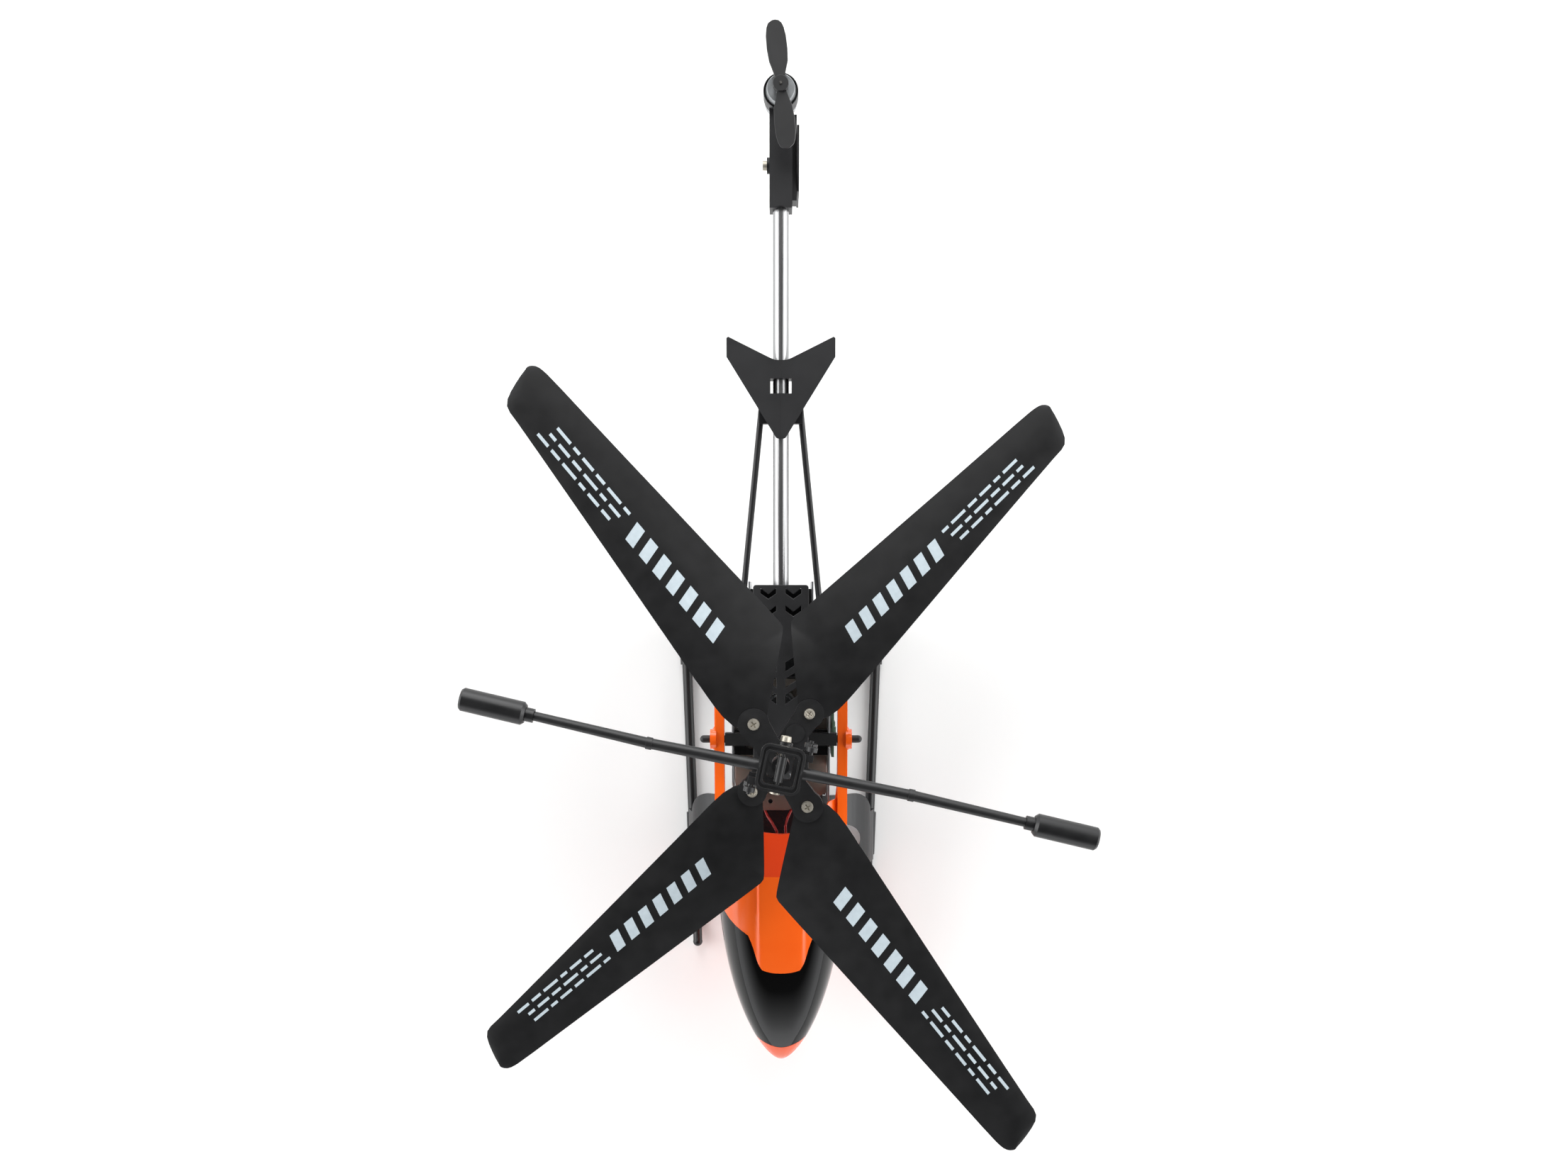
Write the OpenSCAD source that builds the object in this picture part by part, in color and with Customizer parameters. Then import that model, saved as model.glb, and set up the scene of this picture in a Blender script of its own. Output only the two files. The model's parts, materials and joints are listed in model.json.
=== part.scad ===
// Coaxial toy helicopter: two rotors turning opposite ways on one mast, a weighted flybar above them,
// an aluminium-plated chassis, a removable canopy, a tube tail boom and a level tail propeller.
// +Z is up, the nose points to -Y and the skids stand on Z = 0. Millimetres.

/* [Layout] */
// Distance of the mast from the origin along Y
shaft_y = -93; // [-96:0.5:-90]
// Height of the lower rotor's blades above the floor
lower_rotor_z = 143; // [138:1:165]
// Height of the upper rotor above the lower one
rotor_gap = 57; // [46:1:70]
// Height of the flybar above the upper rotor
flybar_rise = 17; // [15:0.5:24]
// Direction of the flybar's tilt axis, counter-clockwise from +X
hub_angle = 78.2; // [60:0.1:120]

/* [Rotors] */
// Distance of an upper blade's screw from the mast
upper_screw_r = 23.4; // [20:0.1:30]
// Distance of a lower blade's screw from the mast
lower_screw_r = 24.9; // [21:0.1:32]
// Length of a blade from its screw to its tip
blade_len = 196.6; // [155:0.1:238]
// Widest part of a blade, near its root
blade_chord = 48.3; // [40:0.1:59]
// Thickness of a blade's root
blade_root_t = 2.4; // [2:0.1:3]
// Direction of the upper rotor's rear blade
upper_blade_dir = 123.2; // [110:0.1:140]
// Direction of the lower rotor's right blade
lower_blade_dir = 51.1; // [35:0.1:65]
// Diameter of the inner rotor shaft
inner_shaft_d = 3; // [2.5:0.1:3.6]
// Diameter of the outer rotor shaft
outer_shaft_d = 5; // [4.8:0.1:6]
// Gap round a turning or folding shaft, on the radius
running_gap = 0.04; // [0.02:0.01:0.08]

/* [Flybar] */
// Flybar length over its weights
flybar_len = 302.6; // [252:0.2:362]
// Diameter of a flybar weight
weight_d = 11; // [9:0.1:13]
// Length of a flybar weight
weight_len = 34.6; // [28:0.1:41]

/* [Gears] */
// Tooth module of the gear train
gear_module = 0.5; // [0.5:0.1:0.6]
// Teeth on each main gear
main_teeth = 72; // [64:4:80]
// Teeth on each motor pinion
pinion_teeth = 10; // [8:1:12]
// Face width of a gear
gear_w = 4; // [3:0.5:4.5]

/* [Chassis] */
// Distance between the outer faces of the two side plates
chassis_w = 53; // [50:0.5:56]
// Thickness of a side plate
plate_t = 1; // [0.8:0.1:1.5]
// Diameter of a main motor's can
motor_d = 16; // [14:0.5:17]
// Length of a main motor's can
motor_len = 26; // [22:0.5:28]
// Width of the cover over the chassis
cover_w = 29.3; // [26:0.1:32]

/* [Tail] */
// Diameter of the boom tube
boom_d = 8.5; // [7:0.1:10]
// Wall of the boom tube
boom_wall = 0.6; // [0.5:0.1:1.2]
// Height of the boom's middle above the floor
boom_z = 95; // [93:0.5:97]
// Distance of the tail motor from the mast
tail_motor_y = 341.2; // [300:0.2:400]
// Diameter of the tail motor's can
tail_motor_d = 17.2; // [15:0.1:19]
// Diameter of the tail propeller
tail_prop_d = 64; // [54:1:77]
// Width of the stabiliser over its tips
stabiliser_w = 58; // [48:0.1:70]

/* [Canopy] */
// Distance of the nose's tip in front of the mast
nose_y = -187; // [-194:0.5:-182]
// Widest half of the canopy
canopy_half_w = 36; // [34:0.1:40]
// Wall of the canopy's mouldings
canopy_wall = 1.3; // [1:0.1:2]
// Height of the line where the canopy is widest
seam_z = 62; // [58:0.5:66]
// Height of the canopy's top
canopy_top_z = 108; // [104:0.5:110]
// Length of the pins that hold the canopy, from tip to tip
post_len = 88; // [84:0.5:100]

/* [Landing gear] */
// Diameter of a skid
skid_d = 5.8; // [5:0.1:7]
// Distance of a skid's middle from the centre line, level with the mast
skid_x = 55.9; // [50:0.1:62]
// Angle between a skid and the centre line
skid_toe = 1.95; // [0:0.05:4]
// Length of the front leg along the centre line
front_leg_len = 56; // [46:1:64]
// Length of the rear leg along the centre line
rear_leg_len = 40; // [34:1:50]
// Thickness of a leg's sheet
leg_t = 2.4; // [2:0.1:3]

/* [Hidden] */
$fn = 48;

eps = 0.01;
black = "#242425";
orange = "#F26522";
alu = "#C9CCCE";
nickel = "#B9B4AA";
upper_rotor_z = lower_rotor_z + rotor_gap;
flybar_z = upper_rotor_z + flybar_rise;

// Places the shape given in mast coordinates.
module aboard() translate([0, shaft_y, 0]) children();

// Both sides of the centre line.
module both_sides() { children(); mirror([1, 0, 0]) children(); }

module tube(od, id, h) difference() {
    cylinder(d = od, h = h);
    translate([0, 0, -1]) cylinder(d = id, h = h + 2);
}

// A cylinder lying along X or Y, from its lowest end.
module rod_x(d, len) rotate([0, 90, 0]) cylinder(d = d, h = len);
module rod_y(d, len) rotate([-90, 0, 0]) cylinder(d = d, h = len);

// A rectangle with round corners, centred.
module round_rect(w, l, r) {
    square([w - 2 * r, l], center = true);
    square([w, l - 2 * r], center = true);
    for (x = [-1, 1], y = [-1, 1]) translate([x * (w / 2 - r), y * (l / 2 - r)]) circle(r);
}

// ---- Landing gear -------------------------------------------------------------------------------

skid_front_y = -122;
skid_rear_y = 88;
skid_z = 2.7;
skid_tip_len = 11;
skid_tip_angle = 16;
leg_top_z = 41;
leg_flat_x = 16;
front_leg_y = -64.5;
rear_leg_y = 52;
leg_hole_r = 10;
leg_hole_x = [31.5, 37.3];
leg_sleeve_wall = 1;
leg_corner_r = 12;
leg_sleeve_len = 26;
leg_screw_x = 10;

// Each leg: its middle and its length along the centre line.
legs = [[front_leg_y, front_leg_len], [rear_leg_y, rear_leg_len]];

// Where the screws go through a leg and into the tray.
function leg_screws(leg) = [for (x = [-1, 1], y = [-1, 1]) [x * leg_screw_x, leg[0] + y * (leg[1] / 2 - 12)]];

module on_skid() translate([skid_x, 0, skid_z]) rotate([0, 0, -skid_toe]) children();

// A round rod with turned-up ends, flat underneath where it stands.
module skid() color(black) aboard() on_skid() difference() {
    union() {
        translate([0, skid_front_y, 0]) rod_y(skid_d, skid_rear_y - skid_front_y);
        for (end = [[skid_front_y, 180], [skid_rear_y, 0]])
            translate([0, end[0], 0]) rotate([0, 0, end[1]]) rotate([skid_tip_angle, 0, 0])
                translate([0, -1, 0.25]) {
                    rod_y(skid_d - 0.3, skid_tip_len);
                    translate([0, skid_tip_len, 0]) sphere(d = skid_d);
                }
    }
    translate([-20, -200, -skid_z - 10]) cube([40, 400, 10]);
}
module skid_right() skid();
module skid_left() mirror([1, 0, 0]) skid();

// The arch's upper side, a quarter of an ellipse from the flat top to the foot.
function arch(inset, a) = [
    leg_flat_x + (skid_x + 0.6 - leg_flat_x - inset) * cos(a),
    skid_z + (leg_top_z - skid_z - inset) * sin(a)
];
arch_steps = 16;

module leg(place) color(black) aboard() {
    difference() {
        translate([0, place[0], 0]) intersection() {
            rotate([90, 0, 0]) translate([0, 0, -place[1] / 2]) linear_extrude(place[1]) both_sides()
                polygon(concat(
                    [for (i = [0:arch_steps]) arch(0, 90 * i / arch_steps)],
                    [[0, leg_top_z], [0, leg_top_z - leg_t]],
                    [for (i = [arch_steps:-1:0]) arch(leg_t, 90 * i / arch_steps)]
                ));
            // Round corners, and a narrower foot over the skid.
            linear_extrude(leg_top_z + 1) {
                round_rect(2 * skid_x - 4, place[1], leg_corner_r);
                square([2 * skid_x + 10, place[1] - 2 * leg_corner_r - 1], center = true);
            }
        }
        both_sides() for (x = leg_hole_x) translate([x, place[0], -1]) cylinder(r = leg_hole_r, h = 60);
        both_sides() translate([leg_hole_x[0], place[0] - leg_hole_r, -1])
            cube([leg_hole_x[1] - leg_hole_x[0], 2 * leg_hole_r, 60]);
        both_sides() on_skid() translate([0, place[0] - place[1], 0])
            rod_y(skid_d + 2 * running_gap, 2 * place[1]);
        for (p = leg_screws(place)) translate([p[0], p[1], leg_top_z - leg_t - 1])
            cylinder(d = 2.6, h = leg_t + 2);
    }
    both_sides() on_skid() translate([0, place[0] - leg_sleeve_len / 2, 0]) difference() {
        rod_y(skid_d + 2 * leg_sleeve_wall, leg_sleeve_len);
        translate([0, -1, 0]) rod_y(skid_d + 2 * running_gap, leg_sleeve_len + 2);
        translate([-10, -1, -skid_z - 10]) cube([20, leg_sleeve_len + 2, 10.6]);
    }
}
module front_leg() leg(legs[0]);
module rear_leg() leg(legs[1]);

// ---- Belly: tray, battery, cover, switch and charging socket ------------------------------------

tray_z = leg_top_z;
tray_floor = 2;
tray_w = 48;
tray_front_y = -101.5;
tray_rear_y = 70;
tray_h = 9;
bay_front_y = -98;
bay_rear_y = -40;
bay_w = 34;
battery_h = 16;
cover_lip = 1.6;
switch_at = [12, 16];
socket_at = [-12, 16];
switch_slot = [8, 4];

module belly_tray() color(black) aboard() difference() {
    translate([0, (tray_front_y + tray_rear_y) / 2, tray_z]) linear_extrude(tray_h)
        round_rect(tray_w, tray_rear_y - tray_front_y, 8);
    translate([-tray_w / 2 + 2, tray_front_y + 2.6, tray_z + tray_floor])
        cube([tray_w - 4, tray_rear_y - tray_front_y - 5.2, tray_h]);
    // Battery bay, open to the floor and closed by its cover.
    translate([-bay_w / 2, bay_front_y, tray_z - 1]) cube([bay_w, bay_rear_y - bay_front_y, tray_h]);
    translate([switch_at[0] - switch_slot[0] / 2, switch_at[1] - switch_slot[1] / 2, tray_z - 1])
        cube([switch_slot[0], switch_slot[1], 5]);
    translate([socket_at[0], socket_at[1], tray_z - 1]) cylinder(d = 6.04, h = 5);
    for (l = legs, p = leg_screws(l)) translate([p[0], p[1], tray_z - 1]) cylinder(d = 1.8, h = 4);
}

module battery() color("#1F2022") aboard()
    translate([-15.5, bay_front_y + 1, tray_z + tray_floor + 0.4]) difference() {
        cube([31, bay_rear_y - bay_front_y - 2, battery_h]);
        for (x = [-1, 32]) translate([x - 1.4, -1, -1]) cube([2.2, 80, 1.6]);
    }

// A plate under the battery that fills the bay's floor.
module battery_cover() color(black) aboard() difference() {
    translate([-bay_w / 2 + 0.2, bay_front_y + 0.2, tray_z])
        cube([bay_w - 0.4, bay_rear_y - bay_front_y - 0.4, tray_floor]);
    for (y = [0:4]) translate([-9, bay_front_y + 12 + y * 4, tray_z - 1]) cube([18, 1.6, 1.6]);
    for (p = leg_screws(legs[0])) translate([p[0], p[1], tray_z - 1]) cylinder(d = 1.8, h = 4);
}

// Pan-head screws that hold the legs to the tray.
module body_screws() color(nickel) aboard()
    for (l = legs, p = leg_screws(l))
        translate([p[0], p[1], leg_top_z - leg_t - 1.4]) difference() {
            union() {
                cylinder(d = 4.6, h = 1.4);
                cylinder(d = 1.7, h = 1.4 + leg_t + 2.4);
            }
            translate([-1.4, -0.3, -eps]) cube([2.8, 0.6, 0.7]);
            translate([-0.3, -1.4, -eps]) cube([0.6, 2.8, 0.7]);
        }

module switch_knob() color("#E8E8E4") aboard() translate([switch_at[0] - 1.3, switch_at[1], tray_z]) {
    translate([-1.4, -1.7, -1.6]) cube([2.8, 3.4, 4.2]);
    translate([-1.4, -2.6, tray_floor + 0.2]) cube([2.8, 5.2, 1]);
}

module charge_socket() color("#1B1B1C") aboard() translate([socket_at[0], socket_at[1], tray_z - 0.6]) {
    difference() {
        union() {
            cylinder(d = 6, h = 6.6);
            translate([0, 0, 2.8]) cylinder(d = 9, h = 3.8);
        }
        translate([0, 0, -1]) cylinder(d = 3.6, h = 6.4);
    }
    cylinder(d = 1.1, h = 6);
}

// ---- Chassis: two decks, two side plates, bearings and screws -----------------------------------

plate_in = chassis_w / 2 - plate_t;
plate_z = [50, 106];
joggle_y = [36, 54];
rear_in = 16.4;
plate_front_y = -34;
plate_rear_y = 88;
base_z = 50;
base_t = 4;
lower_gear_z = 57;
upper_gear_z = 64;
motor_plate_z = 72;
motor_plate_t = 2.4;
gear_distance = gear_module * (main_teeth + pinion_teeth) / 2;
bearing_z = [base_z + 0.6, 86, 110];
bearing_h = 3;
inner_bearing_d = 7;
outer_bearing_d = outer_shaft_d + 4;
block_z = 84;
block_h = 6;
post_y = 2.8;
post_z = 100;
post_bar = 6.9;
post_pin_d = 4.1;
screw_spots = [[-26, 52], [26, 52], [-24, 73.2], [22, 73.2], [0, 87]];

module gearbox_base() color(black) aboard() difference() {
    union() {
        translate([-plate_in, -34, base_z]) cube([2 * plate_in, 68, base_t]);
        translate([0, 0, base_z]) cylinder(d = inner_bearing_d + 5, h = base_t);
        both_sides() for (y = [-30, 26]) translate([plate_in - 5, y, base_z + base_t - eps])
            cube([5, 4, motor_plate_z - base_z - base_t + eps]);
    }
    translate([0, 0, bearing_z[0]]) cylinder(d = inner_bearing_d + 0.04, h = 10);
    translate([0, 0, base_z - 1]) cylinder(d = inner_shaft_d + 1, h = 10);
    for (y = [-26, 26]) translate([-10, y - 2, base_z - 1]) cube([20, 4, 10]);
}

// Aluminium deck that carries the two motors, with clipped front corners.
module motor_plate() color(alu) aboard() difference() {
    translate([0, 0, motor_plate_z]) linear_extrude(motor_plate_t) polygon([
        [-plate_in, -32], [-14, -40], [4, -40], [plate_in, -30], [plate_in, 34], [-plate_in, 34]
    ]);
    translate([0, 0, motor_plate_z - 1]) cylinder(d = outer_shaft_d + 3, h = 10);
    for (s = [-1, 1]) {
        translate([0, s * gear_distance, motor_plate_z - 1]) cylinder(d = 6.2, h = 10);
        for (x = [-1, 1]) translate([x * 5.2, s * gear_distance, motor_plate_z - 1]) cylinder(d = 2, h = 10);
    }
    for (p = [[-6, -35], [14, -30], [-16, 22], [16, 22]])
        translate([p[0], p[1], motor_plate_z - 1]) cylinder(d = 2.6, h = 10);
}

// Side view of a plate: along the mast's Y, then height.
plate_outline = [[plate_front_y, 60], [-24, plate_z[0]], [66, plate_z[0]], [plate_rear_y, 68],
                 [plate_rear_y, plate_z[1]], [-20, plate_z[1]], [-20, 96], [plate_front_y, 96]];
plate_windows = [[-20, 80, 8], [20, 84, 9], [66, 74, 7], [-14, 62, 5], [16, 62, 6]];

module side_plate() color(alu) aboard() difference() {
    intersection() {
        translate([0, 0, plate_z[0]]) linear_extrude(plate_z[1] - plate_z[0]) polygon([
            [plate_in, plate_front_y], [plate_in, joggle_y[0]], [rear_in, joggle_y[1]], [rear_in, plate_rear_y],
            [rear_in + plate_t, plate_rear_y], [rear_in + plate_t, joggle_y[1] + plate_t / 2],
            [plate_in + plate_t, joggle_y[0] + plate_t / 2], [plate_in + plate_t, plate_front_y]
        ]);
        rotate([90, 0, 90]) linear_extrude(plate_in + 10) polygon(plate_outline);
    }
    // Lightening windows and the notch for the cross bar.
    for (w = plate_windows) translate([-5, w[0], w[1]]) rod_x(2 * w[2], 60);
    translate([-5, post_y - post_bar / 2 - 0.3, post_z - post_bar / 2 - 0.3])
        cube([60, post_bar + 0.6, 30]);
}
module side_plate_right() side_plate();
module side_plate_left() mirror([1, 0, 0]) side_plate();

module frame_screws() color(nickel) aboard() both_sides() for (p = screw_spots)
    translate([plate_in + plate_t, p[0], p[1]]) difference() {
        rod_x(4.6, 1.1);
        translate([0.6, -0.3, -1.4]) cube([1, 0.6, 2.8]);
        translate([0.6, -1.4, -0.3]) cube([1, 2.8, 0.6]);
    }

module bearing_block() color(black) aboard() difference() {
    union() {
        translate([-plate_in, -7, block_z]) cube([2 * plate_in, 14, block_h]);
        translate([0, 0, block_z]) cylinder(d = outer_bearing_d + 6, h = block_h + 2);
    }
    translate([0, 0, bearing_z[1]]) cylinder(d = outer_bearing_d + 0.04, h = 20);
    translate([0, 0, block_z - 1]) cylinder(d = outer_shaft_d + 1.6, h = 20);
    both_sides() translate([17, 0, block_z - 1]) cylinder(d = 7, h = 20);
}

module shaft_bearings() color(nickel) aboard() {
    translate([0, 0, bearing_z[0]]) tube(inner_bearing_d, inner_shaft_d + 2 * running_gap, bearing_h);
    for (z = [bearing_z[1], bearing_z[2]])
        translate([0, 0, z]) tube(outer_bearing_d, outer_shaft_d + 2 * running_gap, bearing_h);
}

// Cross bar with a ring round the mast; its round pins hold the canopy's rails.
module canopy_crossbar() color(black) aboard() difference() {
    union() {
        both_sides() {
            translate([0, post_y - post_bar / 2, post_z - post_bar / 2])
                cube([rail_in - 0.4, post_bar, post_bar]);
            translate([rail_in - 1, post_y, post_z]) rod_x(post_pin_d, post_len / 2 - post_pin_d / 2 - rail_in + 1);
            translate([post_len / 2 - post_pin_d / 2, post_y, post_z]) sphere(d = post_pin_d);
        }
        translate([0, 0, post_z - post_bar / 2]) cylinder(d = outer_shaft_d + 12, h = post_bar);
    }
    translate([0, 0, post_z - 20]) cylinder(d = outer_shaft_d + 4, h = 40);
}

// ---- Top cover and boom clamp ---------------------------------------------------------------------

cover_front_y = -13;
cover_rear_y = 86;
cover_z = [104.4, 118];
cover_wall = 1.6;
spine_w = 4.8;
arrow = [8.2, 5.6];

// A vee slot that points to the nose.
module chevron() polygon([
    [-arrow[0] / 2, arrow[1]], [-arrow[0] / 2, arrow[1] * 0.52], [0, 0], [arrow[0] / 2, arrow[1] * 0.52],
    [arrow[0] / 2, arrow[1]], [0, arrow[1] * 0.42]
]);

module slant_slot() polygon([[0, 0], [7.6, 5.2], [7.6, 9.6], [0, 4.8]]);

module top_cover() color(black) aboard() difference() {
    translate([0, (cover_front_y + cover_rear_y) / 2, cover_z[0]]) linear_extrude(cover_z[1] - cover_z[0])
        round_rect(cover_w, cover_rear_y - cover_front_y, 1.6);
    difference() {
        translate([-cover_w / 2 + cover_wall, cover_front_y + cover_wall, cover_z[0] - 1])
            cube([cover_w - 2 * cover_wall, cover_rear_y - cover_front_y - 2 * cover_wall,
                  cover_z[1] - cover_z[0] - cover_wall + 1]);
        cylinder(d = outer_bearing_d + 3, h = 200);
    }
    translate([0, 0, 90]) cylinder(d = outer_bearing_d + 0.04, h = bearing_z[2] + bearing_h - 90);
    translate([0, 0, 90]) cylinder(d = outer_shaft_d + 1.6, h = 60);
    for (s = [-1, 1]) {
        for (row = [69.5, 78.7]) translate([s * 6.6, row, 110]) linear_extrude(20) chevron();
        for (k = [0:2]) translate([0, 23.2 + 8.6 * k, 110]) linear_extrude(20)
            mirror([s < 0 ? 1 : 0, 0]) translate([spine_w / 2, 0]) slant_slot();
    }
    // Room for the boom and for the cross bar.
    translate([0, 50, boom_z]) rod_y(boom_d + 1, 60);
    translate([-40, post_y - post_bar / 2 - 0.4, 90]) cube([80, post_bar + 0.8, post_z + post_bar / 2 + 0.4 - 90]);
}

module boom_clamp() color(black) aboard() difference() {
    translate([-rear_in, 58, 86]) cube([2 * rear_in, 26, 17]);
    translate([0, 50, boom_z]) rod_y(boom_d + 0.04, 60);
    translate([-1, 50, boom_z + 3]) cube([2, 60, 20]);
    for (y = [65, 77]) translate([-30, y, boom_z + 6]) rod_x(1.6, 60);
    both_sides() translate([10.5, 56, 84]) cube([3.5, 30, 8]);
}

// ---- Motors, pinions and main gears ---------------------------------------------------------------

backlash = 0.1;
addendum = 0.9;
dedendum = 1.2;
flank = 20;

// A spur gear with straight flanks; one tooth's middle lies on +X.
module gear_2d(teeth) {
    r = gear_module * teeth / 2;
    half = gear_module * PI / 4 - backlash / 2;
    top = half - addendum * gear_module * tan(flank);
    root = min(half + dedendum * gear_module * tan(flank), gear_module * PI / 2 * 0.8);
    circle(r - dedendum * gear_module + 0.05);
    for (i = [0:teeth - 1]) rotate(360 * i / teeth) polygon([
        [r - dedendum * gear_module - 0.3, -root], [r - dedendum * gear_module, -root],
        [r + addendum * gear_module, -top], [r + addendum * gear_module, top],
        [r - dedendum * gear_module, root], [r - dedendum * gear_module - 0.3, root]
    ]);
}

module main_gear(bore) difference() {
    union() {
        linear_extrude(gear_w) gear_2d(main_teeth);
        translate([0, 0, -1.6]) cylinder(d = bore + 5, h = gear_w + 1.6);
    }
    translate([0, 0, -5]) cylinder(d = bore, h = 30);
    for (a = [0:5]) rotate(60 * a) translate([main_teeth * gear_module * 0.31, 0, -5])
        cylinder(d = main_teeth * gear_module * 0.17, h = 30);
}

// The gap between two teeth faces each pinion.
module lower_gear() color("#E9E5D8") aboard()
    translate([0, 0, lower_gear_z]) rotate(90 + 180 / main_teeth) main_gear(inner_shaft_d);
module upper_gear() color("#E9E5D8") aboard()
    translate([0, 0, upper_gear_z]) rotate(-90 + 180 / main_teeth) main_gear(outer_shaft_d);

module pinion(z, shaft_top) translate([0, 0, z]) {
    linear_extrude(gear_w) gear_2d(pinion_teeth);
    cylinder(d = 2, h = shaft_top - z);
}
module pinion_front() color("#B08D3C") aboard()
    translate([0, -gear_distance, 0]) rotate(90) pinion(upper_gear_z, motor_plate_z + 1);
module pinion_rear() color("#B08D3C") aboard()
    translate([0, gear_distance, 0]) rotate(-90) pinion(lower_gear_z, motor_plate_z + 1);

module main_motor(y) color(alu) aboard() translate([0, y, motor_plate_z + motor_plate_t]) {
    difference() {
        union() {
            cylinder(d = motor_d, h = motor_len);
            translate([0, 0, motor_len]) cylinder(d = motor_d - 3, h = 1.4);
            translate([0, 0, -1.8]) cylinder(d = 6, h = 2);
        }
        translate([0, 0, -3]) cylinder(d = 2 + 2 * running_gap, h = 5);
    }
    for (x = [-1, 1]) translate([x * 4 - 0.4, -1, motor_len + 1.4 - eps]) cube([0.8, 2, 3]);
}
module main_motor_front() main_motor(-gear_distance);
module main_motor_rear() main_motor(gear_distance);

// ---- Rotor shafts and lower rotor -----------------------------------------------------------------

ear_r = 8.2;
ear_t = 1.6;
ear_gap = blade_root_t / 2 + 0.1;
blade_screw_d = 3;
blade_head_d = 5.7;

module outer_shaft() color(nickel) aboard() translate([0, 0, upper_gear_z - 1.6])
    tube(outer_shaft_d, inner_shaft_d + 2 * running_gap, lower_rotor_z + 6 - upper_gear_z);

// The cross hole near the top takes the hub's bolt.
module inner_shaft() color(nickel) difference() {
    aboard() translate([0, 0, base_z + 0.2]) cylinder(d = inner_shaft_d, h = upper_rotor_z + 7.6 - base_z);
    on_hub(upper_rotor_z) translate([0, -5, 0]) rod_y(bolt_d, 10);
}

// Two plates that hold a blade's root between them.
module clevis(dir, root_r, screw_r) rotate(dir) {
    for (z = [ear_gap, -ear_gap - ear_t]) translate([0, 0, z]) linear_extrude(ear_t) difference() {
        union() {
            translate([screw_r, 0]) circle(ear_r - 0.7);
            polygon([[2, -root_r], [2, root_r], [screw_r + 2.2, ear_r - 1.06], [screw_r + 2.2, 1.06 - ear_r]]);
        }
        translate([screw_r, 0]) circle(d = blade_screw_d + 0.02);
    }
    translate([4, -root_r, -ear_gap - ear_t]) cube([screw_r - ear_r - 5, 2 * root_r, 2 * (ear_gap + ear_t)]);
}

module blade_screw(dir, screw_r) rotate(dir) translate([screw_r, 0, 0]) difference() {
    union() {
        translate([0, 0, -ear_gap - ear_t - 2]) cylinder(d = blade_screw_d, h = 2 * (ear_gap + ear_t) + 2);
        translate([0, 0, ear_gap + ear_t]) cylinder(d1 = blade_head_d, d2 = blade_head_d - 0.8, h = 2);
        translate([0, 0, -ear_gap - ear_t - 2.2]) cylinder(d = 5.2, h = 2.2, $fn = 6);
    }
    translate([-1.6, -0.35, ear_gap + ear_t + 1]) cube([3.2, 0.7, 2]);
    translate([-0.35, -1.6, ear_gap + ear_t + 1]) cube([0.7, 3.2, 2]);
}

// Directions of each grip's two arms, and how far round from its fellow each second blade rests.
lower_arms = [53.8, 233.8];
upper_arms = [123, 303];
lower_blade_spread = 175.6;
upper_blade_spread = 178.8;

module lower_grip() color(black) aboard() translate([0, 0, lower_rotor_z]) difference() {
    union() {
        for (a = lower_arms) clevis(a, 5.6, lower_screw_r);
        translate([0, 0, -7]) cylinder(d = 14, h = 12);
        rotate(lower_arms[0]) translate([12.6, 0, 0]) cylinder(d = 9.6, h = ear_gap + ear_t + 0.7);
    }
    translate([0, 0, -20]) cylinder(d = outer_shaft_d, h = 40);
    rotate(lower_arms[0] + 90) translate([0, 0, -5]) rod_x(1.8, 20);
}

module lower_blade_screws() color(nickel) aboard() translate([0, 0, lower_rotor_z])
    for (a = lower_arms) blade_screw(a, lower_screw_r);

// ---- Rotor blades -----------------------------------------------------------------------------------

// Chord and length that the blade's plan is drawn for.
plan_chord = 48.3;
chord_k = blade_chord / plan_chord;
root_x = 30.5;
tip_x = 196.6;
// Outline of a blade from its screw outwards: station, leading edge and trailing edge.
blade_plan = [
    [-2, -5, 5.4], [5, -8.8, 12.4], [11, -10.4, 18.4], [18, -11, 25.2], [24.5, -11.2, 31.4],
    [28.3, -11.2, 34.9], [root_x, -11.3, 36.6], [33, -11.4, 36.9], [46, -11.6, 34.7], [75, -12.2, 29.5],
    [105, -12.8, 24.2], [135, -13.5, 18.8], [160, -14.1, 14.4], [178, -14.6, 11.3], [183.4, -14.9, 10.3],
    [186.6, -14.4, 9.7], [189.2, -12.4, 9.2], [191.4, -9, 8.6], [193.4, -5, 7.9], [195, -1.4, 6.9],
    [196.1, 1.6, 5.6], [tip_x, 2.8, 4.4]
];
blade_pitch = [[-5, 0], [11, 0], [root_x, 10.5], [tip_x, 6.5]];
blade_thick = [[-5, 2], [11, 2], [root_x, 2.2], [178, 1.5], [tip_x, 0.9]];
section = [[0, 0], [0.12, 0.34], [0.4, 0.5], [0.7, 0.42], [1, 0.12], [1, -0.12], [0.7, -0.42], [0.4, -0.5],
           [0.12, -0.34]];
camber = 0.035;

// A point of the blade's skin; hand is -1 for the mirror image.
function blade_point(s, q, hand) =
    let (x = s[0] <= root_x ? s[0] : root_x + (s[0] - root_x) * (blade_len - root_x) / (tip_x - root_x))
    let (lead = s[1] * chord_k, trail = s[2] * chord_k)
    let (y = lead + (trail - lead) * q[0])
    let (bend = s[0] <= 11 ? 0 : camber * min(1, (s[0] - 11) / 23))
    let (lift = bend * (trail - lead) * 4 * q[0] * (1 - q[0]))
    [x, hand * y, lift - y * tan(lookup(s[0], blade_pitch)) + lookup(s[0], blade_thick) * q[1]];

function turned(face, hand) = hand < 0 ? face : [for (i = [len(face) - 1:-1:0]) face[i]];

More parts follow.
